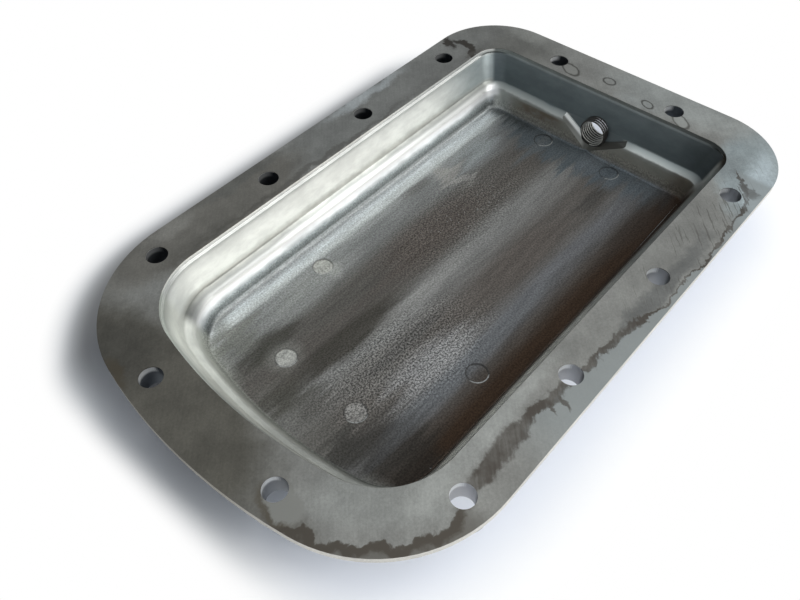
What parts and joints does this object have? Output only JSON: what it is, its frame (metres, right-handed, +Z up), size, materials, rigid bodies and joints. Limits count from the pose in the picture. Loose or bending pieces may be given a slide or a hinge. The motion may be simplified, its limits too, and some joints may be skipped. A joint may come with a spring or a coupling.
{
  "type": "engine oil pan",
  "caption": "Shallow die-cast engine oil pan with a wide bolted flange, one bowed end and a threaded drain hole in the straight end wall.",
  "frame": {"origin": "on the ground plane, centred under the pan's outer box", "axes": "+Z up through the open side of the pan; +X towards the straight end with the drain hole; +Y across the pan"},
  "size_m": [0.279, 0.179, 0.0315],
  "materials": {
    "cast_aluminium": "used die-cast aluminium with a machined flange face, oil-stained"
  },
  "bodies": {
    "root": {"oil_pan": "cast_aluminium"}
  },
  "joints": []
}
